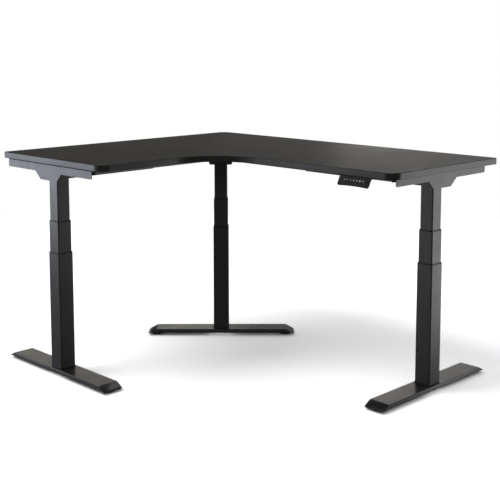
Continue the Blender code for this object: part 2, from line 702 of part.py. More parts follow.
# ---------------------------------------------------------------- control box
def make_control_box():
    """The electronics box: a case open below, closed by a cover plate, with its sockets at one end."""
    top = UNDERSIDE - GAP
    low = top - BOX_HEIGHT
    spans = (BOX_LOW[0], BOX_HIGH[0]), (BOX_LOW[1], BOX_HIGH[1])
    case_body = block(*spans, (low + BOX_COVER + GAP, top), BOX_CORNER_RADIUS)
    case = piece("control_box_case", case_body, "plastic")
    middle = low + BOX_HEIGHT / 2
    for centre in SOCKET_CENTRES:
        socket = block(
            (BOX_LOW[0] - SOCKET_DEPTH, BOX_LOW[0] + SOCKET_DEPTH),
            (centre - SOCKET_WIDTH / 2, centre + SOCKET_WIDTH / 2),
            (middle - SOCKET_HEIGHT / 2, middle + SOCKET_HEIGHT / 2),
        )
        combine(case, "DIFFERENCE", socket)
    cover = block(*spans, (low, low + BOX_COVER), BOX_CORNER_RADIUS)
    piece("control_box_cover", cover, "powder_coat")


def main():
    for old in list(bpy.data.objects):
        bpy.data.objects.remove(old)
    make_worktop()
    for leg, (location, turn, front) in LEGS.items():
        holder = frame(f"{leg}_leg_frame", location, (0, 0, math.radians(turn)))
        make_foot(leg, holder)
        make_column(leg, holder)
        make_drive(leg, holder)
        if leg == "corner":
            make_corner_bracket(holder)
        else:
            make_side_bracket(leg, front, holder)
            make_rails(leg, front, holder)
    make_handset()
    make_control_box()


main()
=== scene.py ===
"""Looks for the height adjustable corner standing desk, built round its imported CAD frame. Metres."""

import json
import math

import bmesh
import bpy
from mathutils import Matrix, Vector


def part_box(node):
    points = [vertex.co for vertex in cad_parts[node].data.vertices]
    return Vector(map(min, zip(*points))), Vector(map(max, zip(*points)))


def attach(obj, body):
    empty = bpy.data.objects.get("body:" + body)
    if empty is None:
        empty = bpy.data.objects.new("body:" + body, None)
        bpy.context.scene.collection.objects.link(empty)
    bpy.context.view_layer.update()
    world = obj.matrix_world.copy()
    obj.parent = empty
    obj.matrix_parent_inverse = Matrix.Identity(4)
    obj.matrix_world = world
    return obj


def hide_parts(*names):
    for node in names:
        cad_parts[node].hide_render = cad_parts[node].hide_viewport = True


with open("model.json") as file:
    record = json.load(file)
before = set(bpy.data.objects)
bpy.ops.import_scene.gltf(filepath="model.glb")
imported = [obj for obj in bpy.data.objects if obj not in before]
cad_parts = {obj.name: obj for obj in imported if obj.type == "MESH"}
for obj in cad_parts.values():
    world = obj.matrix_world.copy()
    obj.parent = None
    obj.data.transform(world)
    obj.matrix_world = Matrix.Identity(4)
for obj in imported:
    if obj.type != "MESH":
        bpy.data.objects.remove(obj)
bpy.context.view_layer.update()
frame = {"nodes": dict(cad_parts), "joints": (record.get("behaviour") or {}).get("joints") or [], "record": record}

# ---------------------------------------------------------------- places read from the frame
LEG_TURNS = {"left": 0, "right": 90, "corner": 45}  # each foot's length against +X, in degrees
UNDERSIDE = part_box("desktop")[0].z
FOOT_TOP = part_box("left_foot")[1].z
TUBE_HALF = (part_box("left_outer_tube")[1].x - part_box("left_outer_tube")[0].x) / 2
BRACKET_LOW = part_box("corner_bracket")[0].z
BOX_LOW, BOX_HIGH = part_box("control_box_cover")
CASE_LOW, CASE_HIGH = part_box("control_box_case")
KEYS_FACE = -next(Vector(joint["axis"]) for joint in frame["joints"] if joint["child"] == "button_up")

# ---------------------------------------------------------------- sizes of the added pieces
RING_STEPS = 24
CORNER_STEPS = 4  # in each rounded corner of a square outline
GAP = 0.0001  # keeps a piece off the face that it sits on
SMOOTH_ANGLE = 35  # degrees: an added piece's sharper edges stay sharp

# A button-head screw, in shares of its radius and its height.
HEAD_OUTLINE = ((1, 0), (1, 0.30), (0.93, 0.66), (0.76, 0.94), (0.62, 1))
HEX_RADIUS = 0.46
HEX_LEVELS = (0.97, 0.35)  # the hexagon socket's mouth and floor

# Painted shade: a thin dark rubber ring at each column's foot draws the line of shade where column and foot meet.
SHADE_RING_HEIGHT = 0.0028
SHADE_RING_PROUD = 0.0008
SHADE_RING_CORNER = 0.0045

GLIDE_RADIUS = 0.0285
GLIDE_FLUTES = 24
GLIDE_FLUTE_DEPTH = 0.0006
GLIDE_TOP = 0.0125
# The pad's outline from its sole to its hub, as insets from its radius and heights. The rim is fluted.
GLIDE_SOLE = ((0.0165, 0.0008), (0.0045, 0), (0.0022, 0))
GLIDE_RIM = ((0.0004, 0.0020), (0, 0.0040), (0.0002, 0.0062))
GLIDE_SHOULDER = ((0.0016, 0.0076), (0.0040, 0.0090))
GLIDE_HUB = ((0.0135, 0.0108), (0.0160, GLIDE_TOP - 0.0006), (0.0167, GLIDE_TOP))
GLIDE_NUT = (0.013, 0.0055)  # across flats and height
NUT_CHAMFER = (0.98, 0.82)  # where it starts, in shares of the nut's radius and height
STUD_RADIUS = 0.004
STUD_PITCH = 0.00125
STUD_BOTTOM = GLIDE_TOP - 0.001
STUD_TOP = 0.0230
STUD_END = 0.75  # the tapered end against the stud's radius
THREAD_STEPS = 4  # rings in each turn
THREAD_DEPTH = 0.55  # against the pitch

FLANGE_UNDERSIDE = UNDERSIDE - 0.0097  # under the rubber pad and the flange
FLANGE_MIDDLE = 0.0222  # from the column's axis
FLANGE_SCREWS = (0.04, 0.25, 0.75, 0.96)  # shares of a side bracket's length
FLANGE_SCREW = (0.005, 0.0028)  # head radius and height
LOCK_SCREW = (0.0058, 0.0034)
LOCK_WASHER = (0.0088, 0.0011)
WASHER_BORE = 0.4  # against the washer's radius
LOCK_SETBACKS = (0.022, 0.070)  # from an outer rail's open end
CORNER_FACE = 0.0323  # from the corner column's axis to its bracket's front plate
CORNER_BOLT = (0.0064, 0.0030)
CORNER_BOLT_PLACES = ((-0.043, 0.010), (0.043, 0.010), (-0.017, 0.034))  # across, and up from the low edge
CORNER_FLANGE_SCREWS = (-0.070, 0.070), (0.010, 0.100)  # across, and behind the column's axis
CORNER_FLANGE_UNDERSIDE = UNDERSIDE - 0.0033  # under the flange alone
COVER_SCREW = (0.0036, 0.0014)
COVER_SCREW_INSET = 0.010

SOCKET_CENTRES = (0.415, 0.432, 0.449, 0.466, 0.484)
SOCKET_HALF = (0.0058, 0.0068)
LINER_WALL = 0.0011
LINER_LEVELS = (-0.0030, 0.0003)  # its back and its front, out from the case's face
LINER_CORNERS = (0.0008, 0.0004)  # outside and inside
PIN_ROWS = 2
PIN_COLUMNS = 4
PIN_PITCH = (0.0022, 0.0034)
PIN_HALF = 0.00045
PIN_DEPTHS = (0.0008, 0.0034)  # its tip and its foot, in from the case's face

BUTTON_HALF_DEPTH = 0.00195
LEGEND_THICKNESS = 0.00008
LEGEND_SIZE = 0.0056  # the square that a key's mark fits in
LEGEND_STROKE = 0.0008
DIGIT_SIZE = 1.25 * LEGEND_SIZE  # the font's size, which is more than its digits' height
DIGIT_SWELL = LEGEND_STROKE / 6
ARROW_HALF = 0.42 * LEGEND_SIZE
ARROW_STROKE = 1.3 * LEGEND_STROKE
MEMORY_HALF = 0.40 * LEGEND_SIZE
CLOCK_RADIUS = 0.44 * LEGEND_SIZE
CLOCK_RIM = 0.8 * LEGEND_STROKE
CLOCK_HANDS = (0.55 * CLOCK_RADIUS, 0.45 * CLOCK_RADIUS)  # up, and to the right
CLOCK_STROKE = 0.7 * LEGEND_STROKE

# ---------------------------------------------------------------- camera
CAMERA_PLACE = Vector((2.9321, -2.8737, 1.3746))
CAMERA_TURN = 44.983  # degrees from +Y towards -X
CAMERA_DIP = 7.0  # degrees below the horizon
CAMERA_LENS = 72.139
CAMERA_SHIFT = (-0.0086, -0.1776)


def make_camera():
    data = bpy.data.cameras.new("camera")
    data.sensor_width = 36
    data.lens = CAMERA_LENS
    data.shift_x, data.shift_y = CAMERA_SHIFT
    data.clip_end = 100
    camera = bpy.data.objects.new("camera", data)
    camera.location = CAMERA_PLACE
    camera.rotation_euler = (math.radians(90 - CAMERA_DIP), 0, math.radians(CAMERA_TURN))
    bpy.context.scene.collection.objects.link(camera)
    bpy.context.scene.camera = camera


# ---------------------------------------------------------------- shader helpers
def shader_material(name, colour, roughness, metallic=0.0, specular=0.5):
    """A material with its Principled shader's even values set. Returns it with its node tree."""
    made = bpy.data.materials.new(name)
    made.use_nodes = True
    shader = made.node_tree.nodes["Principled BSDF"]
    shader.inputs["Base Color"].default_value = (*colour, 1)
    shader.inputs["Roughness"].default_value = roughness
    shader.inputs["Metallic"].default_value = metallic
    shader.inputs["Specular IOR Level"].default_value = specular
    return made, made.node_tree, shader


def add_node(tree, kind, **values):
    """A node with its properties and, by name, its unlinked inputs set."""
    node = tree.nodes.new(kind)
    for key, value in values.items():
        if key in node.inputs:
            node.inputs[key].default_value = value
        else:
            setattr(node, key, value)
    return node


def noise(tree, size, detail=2.0, roughness=0.5, stretch=(1, 1, 1)):
    """Noise whose features are about size metres across, in the object's own coordinates."""
    place = tree.nodes.new("ShaderNodeTexCoord").outputs["Object"]
    if stretch != (1, 1, 1):
        mapping = add_node(tree, "ShaderNodeMapping", Scale=stretch)
        tree.links.new(place, mapping.inputs["Vector"])
        place = mapping.outputs["Vector"]
    texture = add_node(tree, "ShaderNodeTexNoise", Scale=1 / size, Detail=detail, Roughness=roughness)
    tree.links.new(place, texture.inputs["Vector"])
    return texture.outputs["Fac"]


def spread(tree, factor, low, high, start=0.25, end=0.75):
    """A factor between start and end spread from low to high."""
    ramp = add_node(tree, "ShaderNodeMapRange")
    ramp.inputs["From Min"].default_value = start
    ramp.inputs["From Max"].default_value = end
    ramp.inputs["To Min"].default_value = low
    ramp.inputs["To Max"].default_value = high
    tree.links.new(factor, ramp.inputs["Value"])
    return ramp.outputs["Result"]


def connect(tree, value, socket):
    """Feeds a socket from a node's output, a plain number or a plain colour."""
    if isinstance(value, tuple):
        socket.default_value = (*value, 1)
    elif isinstance(value, float):
        socket.default_value = value
    else:
        tree.links.new(value, socket)


def maths(tree, operation, *values):
    """The result of an operation on node outputs and plain numbers."""
    node = add_node(tree, "ShaderNodeMath", operation=operation)
    for value, socket in zip(values, node.inputs):
        connect(tree, value, socket)
    return node.outputs["Value"]


def level_faces(tree):
    """A factor that is 1 on level faces and 0 on upright ones."""
    normal = tree.nodes.new("ShaderNodeTexCoord").outputs["Normal"]
    parts = tree.nodes.new("ShaderNodeSeparateXYZ")
    tree.links.new(normal, parts.inputs["Vector"])
    return spread(tree, maths(tree, "ABSOLUTE", parts.outputs["Z"]), 0, 1, start=0.3, end=0.7)


def mixed_colour(tree, factor, first, second):
    mix = add_node(tree, "ShaderNodeMix", data_type="RGBA")
    connect(tree, first, mix.inputs[6])
    connect(tree, second, mix.inputs[7])
    tree.links.new(factor, mix.inputs["Factor"])
    return mix.outputs[2]


def bump(tree, shader, height, strength, distance, under=None):
    """Raises the surface by a height, on top of an earlier bump if there is one."""
    node = add_node(tree, "ShaderNodeBump", Strength=strength, Distance=distance)
    tree.links.new(height, node.inputs["Height"])
    if under is not None:
        tree.links.new(under, node.inputs["Normal"])
    tree.links.new(node.outputs["Normal"], shader.inputs["Normal"])
    return node.outputs["Normal"]


def tinted(colour, by):
    return tuple(channel * by for channel in colour)


def grained(tree, factor, colour, dark, light):
    """A colour that wanders between a darker and a lighter tint."""
    return mixed_colour(tree, spread(tree, factor, 0, 1), tinted(colour, dark), tinted(colour, light))


# ---------------------------------------------------------------- materials
def laminate():
    """Matte black laminate: a sandy, faintly clouded face, and a glossier streaked band on the edges."""
    colour = (0.024, 0.0235, 0.0220)
    made, tree, shader = shader_material("laminate", colour, 0.5, specular=0.46)
    grain = noise(tree, 0.0030, detail=4, roughness=0.72)
    face = grained(tree, grain, colour, dark=0.74, light=1.32)
    streaks = noise(tree, 0.0018, detail=3, stretch=(0.15, 0.15, 1.6))
    band = grained(tree, streaks, colour, dark=0.70, light=0.95)
    on_face = level_faces(tree)
    tree.links.new(mixed_colour(tree, on_face, band, face), shader.inputs["Base Color"])
    clouds = spread(tree, noise(tree, 0.16), low=0.34, high=0.40)
    duller_by = 0.13
    tree.links.new(maths(tree, "MULTIPLY_ADD", on_face, duller_by, clouds), shader.inputs["Roughness"])
    pores = bump(tree, shader, grain, strength=0.18, distance=0.0001)
    bump(tree, shader, noise(tree, 0.0012), strength=0.30, distance=0.00006, under=pores)
    return made


def powder_coat():
    """Satin black powder coat: orange peel under a fine speckle, a little duller in cloudy patches."""
    colour = (0.026, 0.026, 0.0265)
    made, tree, shader = shader_material("powder_coat", colour, 0.36, specular=0.55)
    speckle = noise(tree, 0.0011)
    tree.links.new(grained(tree, speckle, colour, dark=0.85, light=1.2), shader.inputs["Base Color"])
    patches = noise(tree, 0.05, detail=3)
    tree.links.new(spread(tree, patches, low=0.33, high=0.39), shader.inputs["Roughness"])
    peel = bump(tree, shader, noise(tree, 0.004), strength=0.15, distance=0.0002)
    bump(tree, shader, speckle, strength=0.30, distance=0.00006, under=peel)
    return made


def moulded_plastic():
    """Black moulded plastic with a fine spark-eroded grain."""
    colour = (0.012, 0.012, 0.0122)
    made, tree, shader = shader_material("moulded_plastic", colour, 0.48)
    grain = noise(tree, 0.0007, detail=3)
    tree.links.new(grained(tree, grain, colour, dark=0.9, light=1.15), shader.inputs["Base Color"])
    tree.links.new(spread(tree, noise(tree, 0.02), low=0.44, high=0.52), shader.inputs["Roughness"])
    bump(tree, shader, grain, strength=0.4, distance=0.00005)
    return made


def key_panel():
    """The handset's dark grey film panel, with a crossed brushed texture."""
    colour = (0.034, 0.035, 0.037)
    made, tree, shader = shader_material("key_panel", colour, 0.30)
    along = noise(tree, 0.0006, detail=1, stretch=(0.12, 1, 1))
    across = noise(tree, 0.0006, detail=1, stretch=(1, 0.3, 0.3))
    crossed = maths(tree, "ADD", along, across)
    shade = spread(tree, crossed, 0, 1, start=0.75, end=1.25)
    shaded = mixed_colour(tree, shade, tinted(colour, 0.8), tinted(colour, 1.25))
    tree.links.new(shaded, shader.inputs["Base Color"])
    tree.links.new(spread(tree, noise(tree, 0.01), low=0.27, high=0.34), shader.inputs["Roughness"])
    bump(tree, shader, crossed, strength=0.2, distance=0.00003)
    return made


def rubber():
    """Dull black rubber with dust in its pores."""
    colour = (0.014, 0.014, 0.0145)
    made, tree, shader = shader_material("rubber", colour, 0.82, specular=0.35)
    dust = noise(tree, 0.006, detail=4)
    tree.links.new(grained(tree, dust, colour, dark=1.0, light=1.7), shader.inputs["Base Color"])
    tree.links.new(spread(tree, dust, low=0.76, high=0.90), shader.inputs["Roughness"])
    bump(tree, shader, noise(tree, 0.0008), strength=0.4, distance=0.0001)
    return made


def zinc_plate():
    """Zinc-plated steel with faint blue and yellow passivation."""
    cool, warm = (0.50, 0.53, 0.58), (0.60, 0.57, 0.47)
    made, tree, shader = shader_material("zinc_plate", cool, 0.32, metallic=1.0)
    tone = noise(tree, 0.012, detail=3)
    tree.links.new(mixed_colour(tree, spread(tree, tone, 0, 1), cool, warm), shader.inputs["Base Color"])
    tree.links.new(spread(tree, noise(tree, 0.002), low=0.26, high=0.42), shader.inputs["Roughness"])
    bump(tree, shader, noise(tree, 0.0009), strength=0.15, distance=0.00005)
    return made


def black_oxide():
    """Blackened steel screws, oily in patches."""
    colour = (0.055, 0.054, 0.056)
    made, tree, shader = shader_material("black_oxide", colour, 0.34, metallic=0.85)
    patches = noise(tree, 0.003, detail=4, roughness=0.6)
    tree.links.new(grained(tree, patches, colour, dark=0.7, light=1.5), shader.inputs["Base Color"])
    tree.links.new(spread(tree, patches, low=0.26, high=0.46), shader.inputs["Roughness"])
    bump(tree, shader, noise(tree, 0.0006), strength=0.25, distance=0.00004)
    return made


def motor_paint():
    """Grey enamel on the motor and gearbox cases, with a slow flow to it."""
    colour = (0.085, 0.087, 0.092)
    made, tree, shader = shader_material("motor_paint", colour, 0.38)
    flow = noise(tree, 0.007)
    tree.links.new(grained(tree, flow, colour, dark=0.9, light=1.15), shader.inputs["Base Color"])
    tree.links.new(spread(tree, flow, low=0.33, high=0.44), shader.inputs["Roughness"])
    bump(tree, shader, noise(tree, 0.003), strength=0.12, distance=0.0001)
    return made


def painted_glow_legend_print():
    """White printed marks with a faint painted glow, an emission that makes them brighter."""
    colour = (0.80, 0.82, 0.84)
    made, tree, shader = shader_material("painted_glow_legend_print", colour, 0.5)
    ink = noise(tree, 0.0004)
    tree.links.new(grained(tree, ink, colour, dark=0.88, light=1.0), shader.inputs["Base Color"])
    tree.links.new(spread(tree, ink, low=0.45, high=0.6), shader.inputs["Roughness"])
    # Painted glow: a constant emission that brightens the printed marks; it is no lamp.
    shader.inputs["Emission Color"].default_value = (*colour, 1)
    shader.inputs["Emission Strength"].default_value = 0.45
    return made


# By the record's material slots, and one more for the added screws.
FINISHES = {
    "laminate": laminate,
    "powder_coat": powder_coat,
    "plastic": moulded_plastic,
    "panel": key_panel,
    "rubber": rubber,
    "zinc": zinc_plate,
    "motor_case": motor_paint,
    "gearbox_case": motor_paint,
    "legend": painted_glow_legend_print,
    "screw": black_oxide,
}


def make_finishes():
    made = {make: make() for make in set(FINISHES.values())}
    return {name: made[make] for name, make in FINISHES.items()}


def dress_frame(finishes):
    """Gives each CAD node the material of its slot in the record."""
    for subpart in frame["record"]["subparts"]:
        node = frame["nodes"][subpart["node"]]
        node.data.materials.clear()
        node.data.materials.append(finishes[subpart["material_slot"]])


# ---------------------------------------------------------------- making shapes
def ring(radius, height, sides=0, flutes=0, depth=0.0, steps=RING_STEPS):
    """Points round +Z at a height: a circle, a polygon with its flats at the radius, or a fluted circle."""
    points = []
    for step in range(steps):
        turn = math.tau * step / steps
        reach = radius
        if sides:
            flat = math.tau / sides
            reach = radius / math.cos(turn % flat - flat / 2)
        if flutes:
            reach -= depth * (0.5 - 0.5 * math.cos(turn * flutes))
        points.append(Vector((reach * math.cos(turn), reach * math.sin(turn), height)))
    return points


def square_ring(half_x, half_y, radius, height):
    """Points round a rectangle with rounded corners, at one height."""
    points = []
    for quarter, (side_x, side_y) in enumerate(((1, 1), (-1, 1), (-1, -1), (1, -1))):
        centre = Vector((side_x * (half_x - radius), side_y * (half_y - radius), height))
        for step in range(CORNER_STEPS + 1):
            turn = math.pi / 2 * (quarter + step / CORNER_STEPS)
            points.append(centre + Vector((radius * math.cos(turn), radius * math.sin(turn), 0)))
    return points


def skin(loops, hollow=False):
    """A closed skin over rings of one count: capped at both ends, or joined end to end round a hole."""
    bm = bmesh.new()
    rows = [[bm.verts.new(point) for point in points] for points in loops]
    if hollow:
        rows.append(rows[0])
    for low, high in zip(rows, rows[1:]):
        for index, corner in enumerate(low):
            after = (index + 1) % len(low)
            bm.faces.new((corner, low[after], high[after], high[index]))
    if not hollow:
        bm.faces.new(list(reversed(rows[0])))
        bm.faces.new(rows[-1])
    bmesh.ops.recalc_face_normals(bm, faces=bm.faces)
    return bm


def hoop(outer, inner, bottom, top, radius=None):
    """A flat hoop with square edges: round, or square with rounded corners where a radius is given."""
    edges = ((outer, bottom), (outer, top), (inner, top), (inner, bottom))
    if radius is None:
        loops = [ring(half, height) for half, height in edges]
    else:
        loops = [square_ring(half, half, radius, height) for half, height in edges]
    return skin(loops, hollow=True)


def socket_screw(radius, height):
    """A button-head screw with a hexagon socket, standing on z = 0."""
    head = [ring(across * radius, up * height) for across, up in HEAD_OUTLINE]
    socket = [ring(HEX_RADIUS * radius, up * height, sides=6) for up in HEX_LEVELS]
    return skin(head + socket)


def hexagon_nut(across, height, bore, base):
    """A hexagon nut with chamfered corners round a bore."""
    flat = across / 2
    inset, shoulder = NUT_CHAMFER
    sides = [ring(flat, level, sides=6) for level in (base, base + shoulder * height)]
    top = [ring(reach, base + height) for reach in (inset * flat, bore)]
    return skin(sides + top + [ring(bore, base)], hollow=True)


def threaded_stud(radius, pitch, bottom, top):
    """A rod with a helical thread and a tapered end."""
    turns = int((top - bottom) / pitch)
    loops = []
    for index in range(THREAD_STEPS * turns + 1):
        height = bottom + index * pitch / THREAD_STEPS
        points = []
        for step in range(RING_STEPS):
            phase = (height / pitch - step / RING_STEPS) % 1.0
            reach = radius - THREAD_DEPTH * pitch * abs(2 * phase - 1)
            turn = math.tau * step / RING_STEPS
            points.append(Vector((reach * math.cos(turn), reach * math.sin(turn), height)))
        loops.append(points)
    loops.append(ring(STUD_END * radius, top))
    return skin(loops)


def block(bm, low, high):
    """Adds a box between two corners."""
    middle = (Vector(low) + Vector(high)) / 2
    size = Vector(high) - Vector(low)
    place = Matrix.Translation(middle) @ Matrix.Diagonal((*size, 1))
    bmesh.ops.create_cube(bm, size=1, matrix=place)


def merged(parts):
    """One mesh from (mesh, place) pairs. The meshes given are used up."""
    whole = bmesh.new()
    for part, place in parts:
        part.transform(place)
        loose = bpy.data.meshes.new("part")
        part.to_mesh(loose)
        part.free()
        whole.from_mesh(loose)
        bpy.data.meshes.remove(loose)
    return whole


def piece(name, bm, material, body, smooth=SMOOTH_ANGLE):
    """An object of the scene's own that rides on a body and has its finish as its material."""
    mesh = bpy.data.meshes.new(name)
    bm.to_mesh(mesh)
    bm.free()
    mesh.materials.append(material)
    mesh.shade_smooth()
    mesh.set_sharp_from_angle(angle=math.radians(smooth))
    made = bpy.data.objects.new(name, mesh)
    bpy.context.scene.collection.objects.link(made)
    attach(made, body)
    return made


def outward(place, direction):
    """Puts +Z along a direction at a place."""
    return Matrix.Translation(place) @ Vector(direction).to_track_quat("Z", "Y").to_matrix().to_4x4()


def leg_place(leg, x=0.0, y=0.0, z=0.0):
    """A transform to a place in a leg's frame: +X along the foot, -Y out of the column's open face."""
    low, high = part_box(f"{leg}_outer_tube")
    centre = (low + high) / 2
    turn = Matrix.Rotation(math.radians(LEG_TURNS[leg]), 4, "Z")
    return Matrix.Translation((centre.x, centre.y, 0)) @ turn @ Matrix.Translation((x, y, z))


UPSIDE_DOWN = Matrix.Rotation(math.pi, 4, "X")
FORWARD = Matrix.Rotation(math.pi / 2, 4, "X")


# ---------------------------------------------------------------- smooth skins
TUBES = ["outer_tube", "middle_tube", "inner_tube", "outer_collar", "middle_collar"]
SKINNED = ["desktop", "handset_housing"] + [
    f"{leg}_{part}" for leg in LEG_TURNS for part in ["foot", *TUBES, "motor", "gearbox"]
]
WELD = 0.000001
SKIN_ANGLE = 28  # degrees: a sharper edge stays sharp
FLAT_FACES_LEAD = 100  # large faces keep their own normals beside small ones


def make_skins():
    """Stands in for CAD nodes that have curved faces, with the same shape but no facets in the shading."""
    bodies = {node: body for body, nodes in frame["record"]["behaviour"]["bodies"].items() for node in nodes}
    for node in SKINNED:
        solid = frame["nodes"][node].data
        bm = bmesh.new()
        bm.from_mesh(solid)
        bmesh.ops.remove_doubles(bm, verts=bm.verts, dist=WELD)
        made = piece(f"{node}_skin", bm, solid.materials[0], bodies[node], SKIN_ANGLE)
        weighted = made.modifiers.new("weighted_normals", "WEIGHTED_NORMAL")
        weighted.weight = FLAT_FACES_LEAD
        weighted.keep_sharp = True
        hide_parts(node)


# ---------------------------------------------------------------- legs
def make_base_shade_ring(leg, finishes):
    """A thin dark rubber ring between the column and its foot, which paints the line of shade at their joint."""
    half = TUBE_HALF + SHADE_RING_PROUD
    # The ring's dark rubber is painted shade along the joint.
    shade_ring = hoop(half, TUBE_HALF + GAP, FOOT_TOP + GAP, FOOT_TOP + SHADE_RING_HEIGHT, SHADE_RING_CORNER)
    shade_ring.transform(leg_place(leg))
    piece(f"{leg}_base_shade_ring", shade_ring, finishes["rubber"], f"{leg}_base")


def glide_pad():
    """A moulded pad with a fluted rim, a hollow in its sole and a raised hub."""
    plain = {"steps": 4 * GLIDE_FLUTES}
    fluted = {**plain, "flutes": GLIDE_FLUTES, "depth": GLIDE_FLUTE_DEPTH}
    loops = []
    for part, kind in ((GLIDE_SOLE, plain), (GLIDE_RIM, fluted), (GLIDE_SHOULDER + GLIDE_HUB, plain)):
        loops += [ring(GLIDE_RADIUS - inset, height, **kind) for inset, height in part]
    return skin(loops)


def make_glides(leg, finishes):
    """Each glide is a pad, a threaded stud and its lock nut, in place of the plain CAD glide."""
    across, height = GLIDE_NUT
    for end in ("a", "b"):
        body = f"{leg}_glide_{end}"
        low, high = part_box(body)
        centre = Matrix.Translation(((low.x + high.x) / 2, (low.y + high.y) / 2, low.z))
        pad = glide_pad()
        pad.transform(centre)
        pad = piece(f"{body}_pad", pad, finishes["rubber"], body)
        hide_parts(body)
        stud = threaded_stud(STUD_RADIUS, STUD_PITCH, STUD_BOTTOM, STUD_TOP)
        nut = hexagon_nut(across, height, STUD_RADIUS - GAP, GLIDE_TOP)
        fixing = merged([(stud, centre), (nut, centre)])
        piece(f"{body}_stud", fixing, finishes["zinc"], body)


# ---------------------------------------------------------------- fasteners
def make_flange_screws(leg, finishes):
    """The screws that hold a side bracket up to the top, in a row under its flange."""
    low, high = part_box(f"{leg}_side_bracket")
    tube_low, tube_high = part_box(f"{leg}_outer_tube")
    centre = (tube_low + tube_high) / 2
    screws = []
    for share in FLANGE_SCREWS:
        if leg == "left":
            place = (low.x + share * (high.x - low.x), centre.y - FLANGE_MIDDLE, FLANGE_UNDERSIDE)
        else:
            place = (centre.x + FLANGE_MIDDLE, low.y + share * (high.y - low.y), FLANGE_UNDERSIDE)
        screws.append((socket_screw(*FLANGE_SCREW), Matrix.Translation(place) @ UPSIDE_DOWN))
    piece(f"{leg}_bracket_screws", merged(screws), finishes["screw"], "lift")


def make_lock_screws(leg, finishes):
    """The screws with washers that lock the inner rail at the outer rail's open end, on both sides."""
    low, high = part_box(f"{leg}_outer_rail")
    height = (low.z + high.z) / 2
    radius, thickness = LOCK_WASHER
    parts = []
    for setback in LOCK_SETBACKS:
        for side in (-1, 1):
            if leg == "left":
                place = Vector(((high.x if side > 0 else low.x), high.y - setback, height))
                direction = (side, 0, 0)
            else:
                place = Vector((low.x + setback, (high.y if side > 0 else low.y), height))
                direction = (0, side, 0)
            on_face = outward(place, direction)
            on_washer = on_face @ Matrix.Translation((0, 0, thickness))
            parts.append((hoop(radius, WASHER_BORE * radius, 0, thickness), on_face))
            parts.append((socket_screw(*LOCK_SCREW), on_washer))
    piece(f"{leg}_rail_lock_screws", merged(parts), finishes["screw"], "lift")


def make_corner_fasteners(finishes):
    """Bolts on the corner bracket's front plate, and screws under its two flanges."""
    bolts = []
    for across, up in CORNER_BOLT_PLACES:
        place = leg_place("corner", across, -CORNER_FACE, BRACKET_LOW + up) @ FORWARD
        bolts.append((socket_screw(*CORNER_BOLT), place))
    piece("corner_bracket_bolts", merged(bolts), finishes["screw"], "lift")
    screws = []
    for across in CORNER_FLANGE_SCREWS[0]:
        for behind in CORNER_FLANGE_SCREWS[1]:
            place = leg_place("corner", across, behind, CORNER_FLANGE_UNDERSIDE) @ UPSIDE_DOWN
            screws.append((socket_screw(*FLANGE_SCREW), place))
    piece("corner_bracket_screws", merged(screws), finishes["screw"], "lift")


def make_cover_screws(finishes):
    """A screw in each corner of the control box's cover."""
    screws = []
    for x in (BOX_LOW.x + COVER_SCREW_INSET, BOX_HIGH.x - COVER_SCREW_INSET):
        for y in (BOX_LOW.y + COVER_SCREW_INSET, BOX_HIGH.y - COVER_SCREW_INSET):
            place = Matrix.Translation((x, y, BOX_LOW.z)) @ UPSIDE_DOWN
            screws.append((socket_screw(*COVER_SCREW), place))
    piece("control_box_screws", merged(screws), finishes["screw"], "lift")


def socket_liner():
    """A square tube with its front towards +Z."""
    half_y, half_z = SOCKET_HALF
    outside, inside = LINER_CORNERS
    outer = [square_ring(half_y, half_z, outside, level) for level in LINER_LEVELS]
    inner = [
        square_ring(half_y - LINER_WALL, half_z - LINER_WALL, inside, level)
        for level in reversed(LINER_LEVELS)
    ]
    return skin(outer + inner, hollow=True)


def make_sockets(finishes):
    """A liner with contact pins in each socket of the control box."""
    height = (BOX_LOW.z + CASE_HIGH.z) / 2
    tip, foot = (CASE_LOW.x + depth for depth in PIN_DEPTHS)
    liners = []
    pins = bmesh.new()
    for centre in SOCKET_CENTRES:
        liners.append((socket_liner(), outward((CASE_LOW.x, centre, height), (-1, 0, 0))))
        for column in range(PIN_COLUMNS):
            for row in range(PIN_ROWS):
                y = centre + (column - (PIN_COLUMNS - 1) / 2) * PIN_PITCH[0]
                z = height + (row - (PIN_ROWS - 1) / 2) * PIN_PITCH[1]
                block(pins, (tip, y - PIN_HALF, z - PIN_HALF), (foot, y + PIN_HALF, z + PIN_HALF))
    piece("control_box_socket_liners", merged(liners), finishes["plastic"], "lift")
    piece("control_box_socket_pins", pins, finishes["zinc"], "lift")


# ---------------------------------------------------------------- key marks
def flat_stroke(points, width, closed=False):
    """A flat bar along each stretch of a line, half its width longer at both ends, as one mesh."""
    bm = bmesh.new()
    for start, end in zip(points, points[1:] + points[:1] if closed else points[1:]):
        start, end = Vector((*start, 0)), Vector((*end, 0))
        along = (end - start).normalized() * width / 2
        across = Vector((-along.y, along.x, 0))
        start, end = start - along, end + along
        corners = (start - across, end - across, end + across, start + across)
        low = [bm.verts.new(corner) for corner in corners]
        high = [bm.verts.new(corner + Vector((0, 0, LEGEND_THICKNESS))) for corner in corners]
        bm.faces.new(list(reversed(low)))
        bm.faces.new(high)
        for index in range(4):
            after = (index + 1) % 4
            bm.faces.new((low[index], low[after], high[after], high[index]))
    return bm


def digit(text):
    """A printed number as a thin solid."""
    curve = bpy.data.curves.new("digit", "FONT")
    curve.body = text
    curve.size = DIGIT_SIZE
    curve.align_x = "CENTER"
    curve.align_y = "CENTER"
    curve.extrude = LEGEND_THICKNESS / 2
    curve.offset = DIGIT_SWELL
    holder = bpy.data.objects.new("digit", curve)
    bpy.context.scene.collection.objects.link(holder)
    mesh = bpy.data.meshes.new_from_object(holder)
    bm = bmesh.new()
    bm.from_mesh(mesh)
    bmesh.ops.translate(bm, verts=bm.verts, vec=(0, 0, LEGEND_THICKNESS / 2))
    bpy.data.objects.remove(holder)
    bpy.data.curves.remove(curve)
    bpy.data.meshes.remove(mesh)
    return bm


